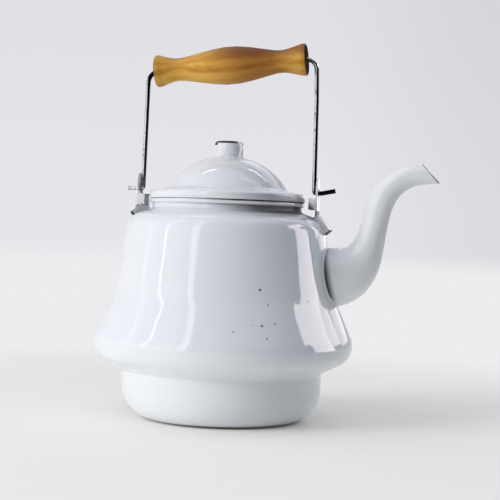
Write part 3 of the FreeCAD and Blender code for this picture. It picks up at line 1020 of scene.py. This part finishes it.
@dataclass
class Lid:
    """The loose lid: a domed pressing, the collar under it and the knob on it."""

    wall: float = 1.2
    line: tuple[Corner, ...] = (
        Corner(58.4, 163.75), Corner(58.4, 169.55, 2.6), Corner(45.0, 172.35, 4.0),
        Corner(29.1, 196.75, 48.86), Corner(0.0, 196.75),
    )
    edge_round: float = 0.5
    edge_ease: float = 0.15
    collar_outside: float = 54.2
    collar_span: Pair = (150.7, 169.3)
    curl_round: float = 0.5
    curl_ease: Pair = (0.2, 0.1)
    knob: tuple[Corner, ...] = (
        Corner(13.0, 194.9), Corner(10.7, 197.0, 2.2), Corner(11.4, 202.45, 9.0), Corner(10.5, 208.15, 3.0),
        Corner(0.0, 208.15),
    )
    knob_inside: float = 9.2

    def build_shell(self) -> bpy.types.Object:
        """Press the lid as a closed section with a rounded lower edge.

        Returns:
            The lid.
        """
        outer = rounded_line(self.line)
        inner = offset_line(outer, self.wall)
        inner[-1] = Vector((0.0, outer[-1].y - self.wall))
        low, inside, ease = outer[0], inner[0].x, self.edge_ease
        lip = [
            Vector((inside, low.y + self.edge_round)), Vector((inside + ease, low.y + ease)),
            Vector((low.x - self.wall / 2.0, low.y)), Vector((low.x - ease, low.y + ease)),
            Vector((low.x, low.y + self.edge_round)),
        ]
        return turn_piece("enamel_lid", inner[:0:-1] + lip + outer[1:])

    def build_collar(self) -> bpy.types.Object:
        """Roll the collar that drops into the neck, with a small curl at its lower edge.

        Returns:
            The collar.
        """
        outside, inside = self.collar_outside, self.collar_outside - self.wall
        low, high = self.collar_span
        across, up = self.curl_ease
        section = [
            Vector((outside, high)), Vector((outside, low + self.curl_round)),
            Vector((outside - across, low + up)), Vector(((outside + inside) / 2.0, low)),
            Vector((inside + across, low + up)), Vector((inside, low + self.curl_round)),
            Vector((inside, high)), Vector((outside, high)),
        ]
        return turn_piece("lid_ring", section)

    def build_knob(self) -> bpy.types.Object:
        """Press the knob as a cup, with a small fillet at its foot.

        Returns:
            The knob.
        """
        outer = rounded_line(self.knob)
        foot = [Vector((self.knob_inside, self.knob[0].up)), outer[0]]
        inner = offset_line(rounded_line(self.knob[1:]), self.wall)
        inner[-1] = Vector((0.0, outer[-1].y - self.wall))
        return turn_piece("enamel_knob", inner[::-1] + foot + outer[1:])

    def dress(self) -> None:
        """Build the lid's three pieces, coat them and tie them to the lid."""
        rim, top = self.line[0].up, self.knob[-1].up
        # Painted shade on the lid's edge, deepening towards the spout.
        dark_band = StainAndShade((below(rim + 5.2, 1.2), spoutward(-12.0, 50.0)), "#40454E", 0.42, ragged=0.2)
        # Rust and painted shadow along the lid's lower edge, in the gap over the rim.
        rust_and_gap_shade = StainAndShade((below(rim + 0.3), spoutward(-26.0, 50.0)), RUST, 0.95, ragged=0.25)
        rusty_curl = StainAndShade((below(self.collar_span[0] + 0.8),), RUST, 0.8)
        front = Side(FRONTWARD, 2.0)
        chip = StainAndShade((above(top - 1.9), front, Side(REARWARD, -6.4)), DARK_WEAR_AND_SHADE, soft=0.3, ragged=0.4)
        chip_end = StainAndShade((above(top - 3.4), Side(REARWARD, 8.4), front), DARK_WEAR_AND_SHADE, soft=0.3, ragged=0.4)
        for build, node, marks in (
            (self.build_shell, "lid_shell", (dark_band, rust_and_gap_shade)),
            (self.build_collar, "lid_collar", (rusty_curl,)),
            (self.build_knob, "lid_knob", (chip, chip_end)),
        ):
            piece = build()
            WHITE_ENAMEL.make(piece, marks)
            settle(piece, Body.LID, Slot.ENAMEL, node)


@dataclass(frozen=True)
class Foot:
    """The folded foot of an ear, in millimetres and degrees.

    It points one `way` along X, slopes down from `start` to `end`, and is chipped over its last `chip`.
    """

    name: str
    way: float
    slope: float
    start: float
    end: float
    top: float
    finish: VitreousEnamel
    chip: float


@dataclass
class Ears:
    """The two bent-sheet ears that carry the bail, and their folded feet on the shoulder."""

    body: KettleBody
    bevel: float = 0.28
    bevel_angle: float = math.radians(40.0)
    flat_angle: float = math.radians(2.0)
    width: float = 19.0
    foot_bevel: float = 0.5
    foot_depth: float = 14.0
    face: float = 67.7
    foot_up: float = 153.9
    foot_top: float = 158.4
    trim_low: float = 120.0
    hub_low: float = 166.4
    pivot_up: float = 171.1
    pivot_wear: float = 4.2
    feet: tuple[Foot, ...] = (
        Foot("front_foot", 1.0, 49.0, 0.6, 15.2, 2.2, EAR_ENAMEL, 1.0),
        Foot("rear_foot", -1.0, 40.0, -6.5, 4.6, 2.2, GREY_ENAMEL, 2.6),
    )

    def build_ear(self, name: str, node: str) -> bpy.types.Object:
        """Copy an ear's solid, merge it and round its edges as pressed sheet has them.

        Args:
            name: the new piece's name.
            node: the ear's CAD node.

        Returns:
            The ear.
        """
        pick_only(frame["nodes"][node])
        bpy.ops.object.duplicate()
        ear = named(name)
        ear.parent = None
        del ear["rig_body"]
        del ear["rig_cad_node"]
        with editing():
            bpy.ops.mesh.remove_doubles(threshold=WELD)
            bpy.ops.mesh.dissolve_limited(angle_limit=self.flat_angle)
        shape_with(
            ear, "BEVEL", width=self.bevel * MM, segments=2, limit_method="ANGLE",
            angle_limit=self.bevel_angle,
        )
        smooth()
        return ear

    def build_foot(self, foot: Foot) -> bpy.types.Object:
        """Fold an ear's foot: a bevelled block along the slope, cut to sit on the shoulder.

        Args:
            foot: which foot it is.

        Returns:
            The foot.
        """
        slope = math.radians(foot.slope)
        along = Vector((math.cos(slope), 0.0, -math.sin(slope)))
        out = Vector((math.sin(slope), 0.0, math.cos(slope)))
        middle = Vector((self.face, 0.0, self.foot_up)) + along * (foot.start + foot.end) / 2.0
        middle += out * (foot.top - self.foot_depth / 2.0)
        bpy.ops.mesh.primitive_cube_add(
            size=1.0, location=mm(foot.way * middle.x, 0.0, middle.z), rotation=(0.0, foot.way * slope, 0.0)
        )
        block = named(foot.name)
        block.scale = mm(foot.end - foot.start, self.width, self.foot_depth)
        bpy.ops.object.transform_apply(location=True, rotation=True, scale=True)
        shape_with(block, "BEVEL", width=self.foot_bevel * MM, segments=3)
        shoulder = [point for point in self.body.outline() if point.y > self.trim_low]
        low, high = Vector((0.0, shoulder[0].y)), Vector((0.0, shoulder[-1].y))
        cut_away(block, turn_piece("shoulder_trim", [low, *shoulder, high]))
        return block

    def front_wear(self) -> tuple[Mark, ...]:
        """Say where the front ear is darkened: low down with painted shade and wear, at its hole worn to
        dark steel, and darker inside its cheeks.
        """
        hub = Speck((self.face + 0.6, 0.0, self.pivot_up), self.pivot_wear, DARK_WEAR_AND_SHADE)
        cheek = (Side((-0.7071, 0.0, -0.7071), -161.2, 2.5), Side((-1.0, 0.0, 0.0), -self.face + 0.6))
        # Painted shade and wear on the ear's lower end.
        low = StainAndShade((below(self.foot_top),), DARK_WEAR_AND_SHADE, 0.9, 0.8)
        return (low, hub, StainAndShade(cheek, "#3C4042", 0.8, ragged=0.2))

    def rear_wear(self) -> tuple[Mark, ...]:
        """Say where the rear ear is darkened: grey low down as painted shade, and near black by the wire,
        worn and in painted shade on the far half of its inner face.
        """
        inside, near = Side((1.0, 0.0, 0.0), -self.face - 0.2), Side((0.0, 1.0, 0.0), -3.0, 4.0)
        # Wear and painted shade on the far half of the inner face, by the wire.
        shade_and_wear_patch = StainAndShade((inside, above(self.hub_low), near), DARK_WEAR_AND_SHADE, 0.95, 0.2, 0.1)
        # Grey low down is painted shade.
        return (StainAndShade((below(self.foot_top),), EAR_SHADE_GREY, 0.9, 0.8), shade_and_wear_patch)

    def foot_wear(self, foot: Foot) -> tuple[Mark, ...]:
        """Say where a foot's enamel is chipped: at the lower end of its toe."""
        slope = math.radians(foot.slope)
        along = (foot.way * math.cos(slope), 0.0, -math.sin(slope))
        reach = self.face * math.cos(slope) - self.foot_up * math.sin(slope) + foot.end
        return (StainAndShade((Side(along, reach - foot.chip),), DARK_WEAR_AND_SHADE, soft=0.9),)

    def dress(self) -> None:
        """Build both ears and their feet, coat them and tie them to the kettle."""
        for name, node, marks in (
            ("front_ear", "front_lug", self.front_wear()), ("rear_ear", "rear_lug", self.rear_wear()),
        ):
            ear = self.build_ear(name, node)
            EAR_ENAMEL.make(ear, marks)
            settle(ear, Body.KETTLE, Slot.EAR, node)
        for foot in self.feet:
            piece = self.build_foot(foot)
            foot.finish.make(piece, self.foot_wear(foot))
            settle(piece, Body.KETTLE, Slot.EAR)


@dataclass
class Bail:
    """The bent wire handle and its turned grip.

    `end_shares` gives the shares of the end's rounding, along the wire and inwards, of its three sections.
    """

    wire_radius: float = 1.7
    wire_sides: int = 20
    end_round: float = 0.5
    end_shares: tuple[Pair, ...] = ((0.0, 1.0), (0.4, 0.3), (1.0, 0.0))
    path: tuple[Corner, ...] = (
        Corner(-77.3, 171.1), Corner(-65.5, 171.1, 2.0), Corner(-64.0, 259.5, 9.0),
        Corner(64.0, 271.1, 7.5), Corner(65.0, 240.0, 60.0), Corner(65.5, 171.1, 2.0),
        Corner(70.9, 171.1, 6.0), Corner(81.5, 173.3),
    )
    grip_axis: Axis = Axis((0.0, 0.0, 265.3), (0.9959187, 0.0, 0.0902551), (-0.0902551, 0.0, 0.9959187))
    grip_ends: Pair = (-58.36, 56.96)
    end_radius: float = 11.9
    end_edge: float = 1.3
    rim: float = 3.2
    neck_radius: float = 7.7
    neck_insets: Pair = (16.0, 19.0)
    neck_round: float = 26.0
    belly_radius: float = 15.6
    belly_round: float = 75.0
    mouth_radius: float = 3.6
    mouth_depth: float = 5.0
    bore: float = 1.8

    def wire_run(self) -> list[Station]:
        """Follow the wire's path with rounded bends, drawn in a little at both cut ends.

        Returns:
            The wire's cross-sections.
        """
        line = rounded_line(self.path)
        run: list[Station] = []
        for index, point in enumerate(line):
            way = line[min(len(line) - 1, index + 1)] - line[max(0, index - 1)]
            tilt = math.degrees(math.atan2(way.y, way.x))
            if run:
                tilt = run[-1].tilt + (tilt - run[-1].tilt + 180.0) % 360.0 - 180.0
            run.append(Station(point.x, point.y, tilt, self.wire_radius))
        head = [self.drawn_in(run[0], along, inwards) for along, inwards in self.end_shares]
        tail = [self.drawn_in(run[-1], -along, inwards) for along, inwards in self.end_shares]
        return head + run[1:-1] + tail[::-1]

    def drawn_in(self, end: Station, along: float, inwards: float) -> Station:
        """Move an end's section along the wire and draw it in, by shares of the end's rounding."""
        tilt = math.radians(end.tilt)
        step = self.end_round * along
        return Station(
            end.across + step * math.cos(tilt), end.up + step * math.sin(tilt), end.tilt,
            self.wire_radius - self.end_round * inwards,
        )

    def build_grip(self) -> bpy.types.Object:
        """Turn the grip: flat ends, two necks and a belly, bored for the wire.

        Returns:
            The grip.
        """
        rear, front = self.grip_ends
        line = (
            Corner(rear, self.mouth_radius), Corner(rear, self.end_radius, self.end_edge),
            Corner(rear + self.rim, self.end_radius, self.end_edge),
            Corner(rear + self.neck_insets[0], self.neck_radius, self.neck_round),
            Corner(0.0, self.belly_radius, self.belly_round),
            Corner(front - self.neck_insets[1], self.neck_radius, self.neck_round),
            Corner(front - self.rim, self.end_radius, self.end_edge),
            Corner(front, self.end_radius, self.end_edge), Corner(front, self.mouth_radius),
            Corner(front - self.mouth_depth, self.bore), Corner(rear + self.mouth_depth, self.bore),
            Corner(rear, self.mouth_radius),
        )
        section = [Vector((point.y, point.x)) for point in rounded_line(line)]
        return turn_piece("turned_grip", section, self.grip_axis)

    def dress(self) -> None:
        """Build the wire and the grip, finish them and tie them to their bodies."""
        wire = sweep_tube("bent_wire", self.wire_run(), self.wire_sides, capped=True)
        PlatedSteelWire().make(wire)
        settle(wire, Body.BAIL, Slot.WIRE, "bail_wire")
        grip = self.build_grip()
        VarnishedWood().make(grip, self.grip_axis, self.grip_ends)
        settle(grip, Body.GRIP, Slot.WOOD, "bail_grip")


@dataclass(frozen=True)
class Card:
    """A flat reflector, seen only in glossy surfaces: a corner, its two edges in metres, and its light."""

    name: str
    corner: Triple
    along: Triple
    rise: Triple
    strength: float
    colour: str = NEUTRAL_LIGHT


def upright(
    name: str, left: Pair, right: Pair, heights: Pair, strength: float, colour: str = NEUTRAL_LIGHT
) -> Card:
    """Make an upright card.

    Args:
        name: the card's name.
        left: one lower corner's place on the floor plan.
        right: the other lower corner's place.
        heights: its lower and upper edge.
        strength: its light.
        colour: the light's colour.

    Returns:
        The card.
    """
    low, high = heights
    along = (right[0] - left[0], right[1] - left[1], 0.0)
    return Card(name, (left[0], left[1], low), along, (0.0, 0.0, high - low), strength, colour)


@dataclass
class Studio:
    """The pale floor, the room, the lamp, the reflectors and the camera, in metres.

    Each `span` is where a level changes, and each `levels` what it is before and after.
    """

    floor_radius: float = 18.0
    floor_sides: int = 96
    floor_albedo: str = "#E6E5E1"
    floor_glow: float = 0.2
    floor_glow_colour: str = "#FDFEFC"
    # Painted contact shadow round the foot and painted shadow to the right, taken out of the floor's glow.
    contact_shadow_span: Pair = (0.05, 0.064)
    shade_span: Pair = (0.06, 0.2)
    shade_middle: Triple = (0.05, 0.035, 0.0)
    shade_levels: Pair = (0.75, 1.0)
    # Painted bounce light: glow that only scattered light sees, more towards the lamp, and a glowing patch
    # by the base.
    bounce_way: Triple = (-0.755, -0.656, 0.0)
    bounce_span: Pair = (-0.08, 0.14)
    bounce_levels: Pair = (0.03, 0.36)
    patch_span: Pair = (0.02, 0.11)
    patch_middle: Triple = (0.15, 0.03, 0.0)
    patch_levels: Pair = (1.1, 0.0)
    far_span: Pair = (0.16, 0.68)
    far_colour: str = "#EDECEE"
    far_bounce_span: Pair = (-0.6, 0.6)
    far_bounce_levels: Pair = (0.2, 0.8)
    open_reach: Pair = (4.0, 16.0)
    backdrop: str = "#E3E2E7"
    backdrop_span: Pair = (0.03, 0.2)
    backdrop_levels: Pair = (1.0, 0.9)
    fall_span: Pair = (0.0, 0.2)
    fall_levels: Pair = (0.03, -0.03)
    room_colour: str = "#F4F7FF"
    back_span: Pair = (0.1, 0.8)
    back_levels: Pair = (0.11, 0.12)
    left_span: Pair = (0.2, 0.9)
    left_levels: Pair = (0.0, 0.02)
    top_span: Pair = (0.5, 1.0)
    top_levels: Pair = (0.0, 1.1)
    key_aim: Triple = (0.0, 0.0, 0.12)
    key_way: Triple = (-0.727, -0.627, 0.28)
    key_reach: float = 2.6
    key_power: float = 41.5
    key_size: float = 1.3
    key_colour: str = "#FFFBF6"
    camera_place: Triple = (0.190809, -0.981627, 0.140)
    camera_right: Triple = (0.98428, 0.17315, 0.03490)
    camera_up: Triple = (-0.03658, 0.00657, 0.99931)
    camera_forward: Triple = (-0.17280, 0.98487, -0.01280)
    lens: float = 95.67
    sensor: float = 36.0
    farthest: float = 50.0
    cards: tuple[Card, ...] = (
        upright("window_pane", (-1.55, -0.3), (-0.68, -1.32), (0.18, 2.05), 1.0, COOL_LIGHT),
        upright("window_right", (-0.68, -1.32), (-0.55, -1.48), (0.05, 2.3), 3.4, COOL_LIGHT),
        upright("window_left", (-1.62, -0.13), (-1.55, -0.3), (0.05, 2.3), 1.7, COOL_LIGHT),
        upright("window_top", (-1.55, -0.3), (-0.68, -1.32), (2.05, 2.3), 2.2, COOL_LIGHT),
        upright("window_bar", (-1.176, -0.676), (-1.124, -0.737), (0.1, 2.2), 4.5, COOL_LIGHT),
        upright("window_sill", (-1.55, -0.3), (-0.68, -1.32), (0.05, 0.18), 2.3, COOL_LIGHT),
        upright("doorway", (1.49, 0.157), (1.24, 0.84), (0.0, 1.3), 6.0, WARM_LIGHT),
        upright("doorway_high", (1.49, 0.02), (1.49, 0.157), (0.8, 1.1), 6.0, WARM_LIGHT),
        upright("doorway_side", (1.24, 0.84), (0.95, 1.07), (0.34, 0.8), 4.0, WARM_LIGHT),
        upright("doorway_low", (0.95, 1.07), (0.1, 1.6), (0.2, 0.44), 2.4, WARM_LIGHT),
        upright("back_glow", (-0.1, 2.0), (1.5, 1.4), (1.04, 2.0), 1.8, COOL_LIGHT),
        upright("front_flag", (-0.74, -2.15), (1.15, -1.99), (-0.5, 3.0), 0.03),
        upright("right_flag", (1.15, -1.99), (2.3, 0.2), (-0.5, 3.0), 0.03),
        Card("side_tube", (0.52, -0.17, 2.0), (0.9, 0.42, 0.0), (0.0, 0.3, 0.0), 2.2, COOL_LIGHT),
        Card("left_tube", (-1.02, 0.32, 2.0), (0.76, 0.12, 0.0), (0.0, 0.13, 0.0), 6.0, COOL_LIGHT),
        Card("right_tube", (0.44, 0.98, 2.0), (0.95, 0.26, 0.0), (0.0, 0.17, 0.0), 6.0, COOL_LIGHT),
    )

    def build_floor(self) -> None:
        """Lay a wide pale floor: it keeps the kettle's shadow, adds a painted contact shadow and a painted
        shadow to the right, glows as painted bounce light, and opens into the backdrop far away.
        """
        bpy.ops.mesh.primitive_circle_add(
            vertices=self.floor_sides, radius=self.floor_radius, fill_type="NGON"
        )
        floor = named("studio_floor")
        graph = Graph(bpy.data.materials.new("pale_paper_floor"))
        place = graph.place()
        away = graph.vector("LENGTH", place)
        seen = graph.seen()
        # Painted bounce light for scattered rays, with a glowing patch by the base.
        toward_key = graph.vector("DOT_PRODUCT", place, self.bounce_way)
        bounce = graph.fade(toward_key, self.bounce_span, self.bounce_levels)
        from_patch = graph.vector("DISTANCE", place, self.patch_middle)
        patch = graph.fade(from_patch, self.patch_span, self.patch_levels)
        scattered = graph.number("ADD", bounce, patch)
        glow = graph.fade(seen, UNIT, (scattered, self.floor_glow), soft=False)
        # Painted contact shadow round the foot and painted shadow to the right.
        clear_of_foot = graph.fade(away, self.contact_shadow_span)
        from_shade = graph.vector("DISTANCE", place, self.shade_middle)
        clear_of_shade = graph.fade(from_shade, self.shade_span, self.shade_levels)
        unshaded = graph.number("MULTIPLY", clear_of_foot, clear_of_shade)
        lit = graph.light("Emission", self.floor_glow_colour, graph.number("MULTIPLY", unshaded, glow))
        matte = graph.shader("BsdfDiffuse", {"Color": linear(self.floor_albedo)})
        near = graph.shader("AddShader", {0: matte, 1: lit})
        far_bounce = graph.fade(toward_key, self.far_bounce_span, self.far_bounce_levels)
        far_level = graph.fade(seen, UNIT, (far_bounce, 1.0), soft=False)
        distant = graph.light("Emission", self.far_colour, far_level)
        faded = graph.shader("MixShader", {0: graph.fade(away, self.far_span), 1: near, 2: distant})
        dip_span = (1.0 / self.open_reach[0], 1.0 / self.open_reach[1])
        opened = graph.fade(graph.number("DIVIDE", 1.0, away), dip_span)
        clear = graph.shader("BsdfTransparent")
        graph.coat(floor, graph.shader("MixShader", {0: opened, 1: faded, 2: clear}))

    def build_world(self) -> None:
        """Light the room: a pale backdrop for what is seen, and soft light from behind, above and left."""
        world = bpy.data.worlds.new("studio_room")
        bpy.context.scene.world = world
        graph = Graph(world)
        way = graph.place("Generated")
        left = tuple(-part for part in self.camera_right)
        backdrop, fall, back, side, top = (
            graph.fade(graph.vector("DOT_PRODUCT", way, toward), span, levels)
            for toward, span, levels in (
                (self.camera_right, self.backdrop_span, self.backdrop_levels),
                (UP, self.fall_span, self.fall_levels),
                (self.camera_forward, self.back_span, self.back_levels),
                (left, self.left_span, self.left_levels),
                (UP, self.top_span, self.top_levels),
            )
        )
        pale = graph.light("Background", self.backdrop, graph.number("ADD", backdrop, fall))
        fill = graph.number("ADD", graph.number("ADD", back, side), top)
        room = graph.light("Background", self.room_colour, fill)
        surface = graph.shader("MixShader", {0: graph.seen(), 1: room, 2: pale})
        add_node(graph.tree, "ShaderNodeOutputWorld", {"Surface": surface})

    def build_key(self) -> None:
        """Hang the soft key lamp at the left."""
        aim = Vector(self.key_aim)
        place = aim + Vector(self.key_way).normalized() * self.key_reach
        bpy.ops.object.light_add(type="AREA", location=place)
        key = named("key_lamp")
        key.data.energy = self.key_power
        key.data.size = self.key_size
        key.data.color = linear(self.key_colour)[:3]
        key.rotation_euler = (aim - place).to_track_quat("-Z", "Y").to_euler()
        key.visible_glossy = False

    @staticmethod
    def build_card(card: Card) -> None:
        """Hang one reflector."""
        corner = Vector(card.corner)
        piece = draw_chain(card.name, [corner, corner + Vector(card.along)])
        with editing():
            bpy.ops.mesh.extrude_region_move(TRANSFORM_OT_translate={"value": card.rise})
        graph = Graph(bpy.data.materials.new(f"{card.name}_light"))
        graph.coat(piece, graph.light("Emission", card.colour, card.strength))
        piece.visible_camera = False
        piece.visible_diffuse = False
        piece.visible_shadow = False

    def build_camera(self) -> None:
        """Set the camera at the photograph's viewing angle."""
        bpy.ops.object.camera_add(location=self.camera_place)
        camera = named("studio_camera")
        camera.data.lens = self.lens
        camera.data.sensor_width = self.sensor
        camera.data.clip_end = self.farthest
        axes = Matrix((self.camera_right, self.camera_up, -Vector(self.camera_forward)))
        camera.rotation_euler = axes.transposed().to_euler()
        bpy.context.scene.camera = camera

    def build(self) -> None:
        """Set up the whole studio."""
        bpy.context.scene.view_settings.view_transform = "Standard"
        self.build_floor()
        self.build_world()
        self.build_key()
        for card in self.cards:
            self.build_card(card)
        self.build_camera()


def main() -> None:
    """Build the kettle and its studio."""
    logging.basicConfig(level=logging.INFO, format="%(name)s %(message)s")
    Studio().build()
    body = KettleBody()
    body.dress()
    Spout(body).dress()
    Lid().dress()
    Ears(body).dress()
    Bail().dress()


if __name__ == "__main__":
    main()
